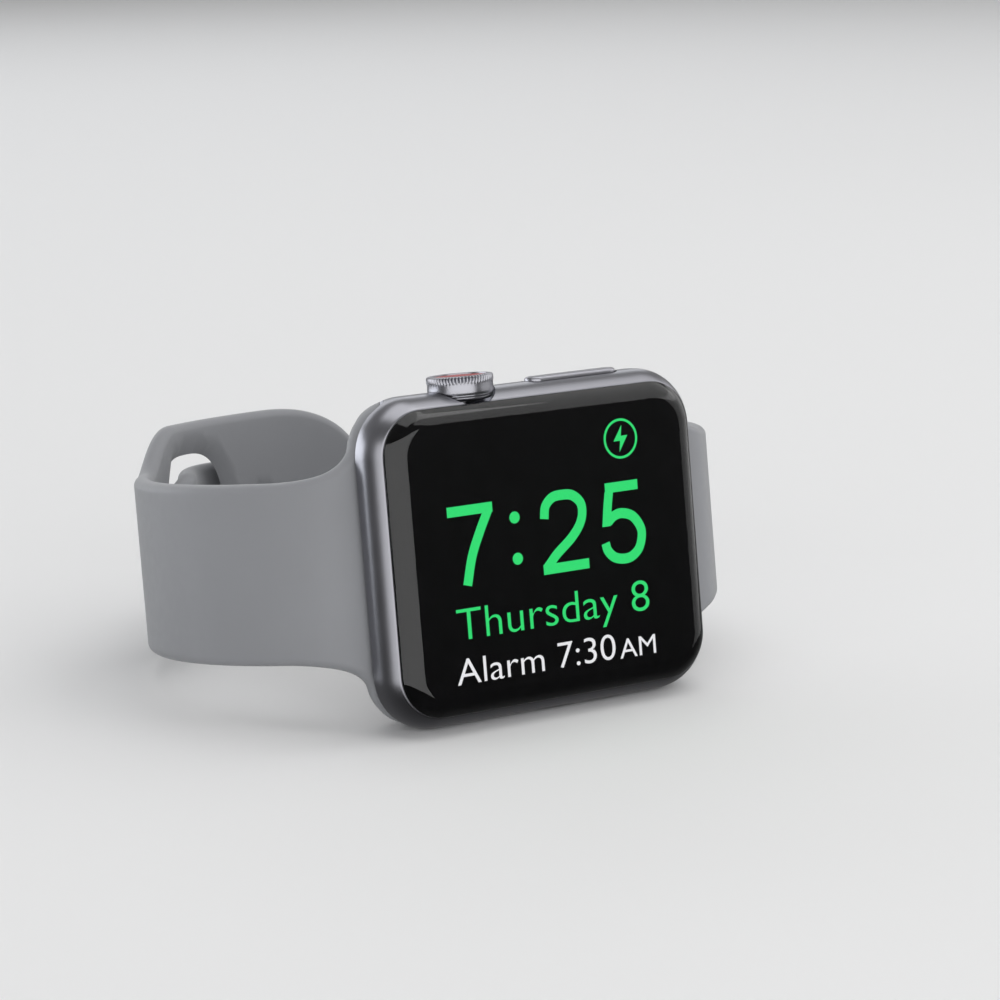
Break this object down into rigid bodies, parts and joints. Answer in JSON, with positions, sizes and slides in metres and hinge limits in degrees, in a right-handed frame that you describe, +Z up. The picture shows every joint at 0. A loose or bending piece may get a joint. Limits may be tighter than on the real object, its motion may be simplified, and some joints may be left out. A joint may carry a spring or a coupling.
{
  "type": "smartwatch",
  "caption": "Rectangular smartwatch with rounded metal case, curved glass, crown, side button and pin-and-tuck elastomer strap closed in a loop.",
  "frame": {"origin": "on the table under the middle of the whole watch, standing on its side as on a bedside table", "axes": "+Z up, +X along the display from the short strap (12 o'clock) to the long strap (6 o'clock), display faces -Y and leans back about 8.5 degrees"},
  "size_m": [0.0684, 0.062, 0.0382],
  "materials": {
    "anodised_aluminium": "dark anodised, satin",
    "cover_glass": "polished, black printed border",
    "display_panel": "black, lit figures in green and white",
    "grey_elastomer": "soft matt grey",
    "steel": "fine brushed",
    "steel_mesh": "dark woven mesh",
    "rear_cover_black": "polished black",
    "sensor_crystal": "polished smoked crystal",
    "sensor_lens": "polished, dark green tint",
    "black_polymer": "moulded black",
    "circuit_board": "solder mask",
    "amber_flex": "amber film",
    "battery_foil": "foil pouch",
    "copper_winding": "enamelled winding",
    "red_face": "red lacquer"
  },
  "bodies": {
    "case": {"case_shell": "anodised_aluminium", "cover_glass": "cover_glass", "display_panel": "display_panel", "display_gasket": "black_polymer", "force_sensor_gasket": "black_polymer", "display_shield": "steel", "display_flex": "amber_flex", "battery_cell": "battery_foil", "battery_flex": "amber_flex", "system_module": "circuit_board", "haptic_motor": "steel", "speaker_module": "black_polymer", "microphone": "steel", "antenna_bracket": "steel", "bracket_screw_1": "steel", "bracket_screw_2": "steel", "bracket_screw_3": "steel", "speaker_mesh_1": "steel_mesh", "speaker_mesh_2": "steel_mesh", "rear_cover": "rear_cover_black", "sensor_crystal": "sensor_crystal", "sensor_lens_1": "sensor_lens", "sensor_lens_2": "sensor_lens", "sensor_lens_3": "sensor_lens", "sensor_lens_4": "sensor_lens", "sensor_board": "circuit_board", "charging_coil": "copper_winding", "coil_shield": "black_polymer", "alignment_magnet": "steel", "crown_bushing": "steel", "crown_encoder": "circuit_board", "crown_switch": "black_polymer", "side_button_switch": "black_polymer", "side_button_bracket": "steel"},
    "crown_press": {"crown_shear_plate": "steel", "crown_seal": "black_polymer"},
    "crown": {"crown_dial": "anodised_aluminium", "crown_face_disc": "red_face", "crown_shaft": "steel"},
    "side_button": {"side_button_cap": "anodised_aluminium", "side_button_stem": "steel"},
    "release_short": {"release_button_short": "anodised_aluminium"},
    "release_long": {"release_button_long": "anodised_aluminium"},
    "short_strap": {"strap_short": "grey_elastomer", "lug_latch_short": "steel", "clasp_pin": "steel", "clasp_pin_plate": "steel"},
    "long_strap": {"strap_long": "grey_elastomer", "lug_latch_long": "steel"}
  },
  "joints": [
    {"name": "crown_press", "type": "slide", "parent": "case", "child": "crown_press", "axis": [0, -0.1473, -0.9891], "range_m": [0, 0.00035], "stiffness_N_per_m": 600, "springref_m": -0.0005},
    {"name": "crown_spin", "type": "hinge", "parent": "crown_press", "child": "crown", "pos_m": [-0.00735, -0.02098, 0.03768], "axis": [0, 0.1473, 0.9891], "continuous": true},
    {"name": "side_button_press", "type": "slide", "parent": "case", "child": "side_button", "axis": [0, -0.1473, -0.9891], "range_m": [0, 0.0003], "stiffness_N_per_m": 600, "springref_m": -0.0005},
    {"name": "release_short_press", "type": "slide", "parent": "case", "child": "release_short", "axis": [0, -0.9891, 0.1473], "range_m": [0, 0.0003], "stiffness_N_per_m": 600, "springref_m": -0.0005},
    {"name": "release_long_press", "type": "slide", "parent": "case", "child": "release_long", "axis": [0, -0.9891, 0.1473], "range_m": [0, 0.0003], "stiffness_N_per_m": 600, "springref_m": -0.0005},
    {"name": "short_strap_slide", "type": "slide", "parent": "case", "child": "short_strap", "axis": [0, 0.1473, 0.9891], "range_m": [0, 0.038]},
    {"name": "long_strap_slide", "type": "slide", "parent": "case", "child": "long_strap", "axis": [0, 0.1473, 0.9891], "range_m": [0, 0.038]}
  ],
  "couplings": [
    {"joint": "long_strap_slide", "follows": "short_strap_slide", "ratio": 1}
  ]
}
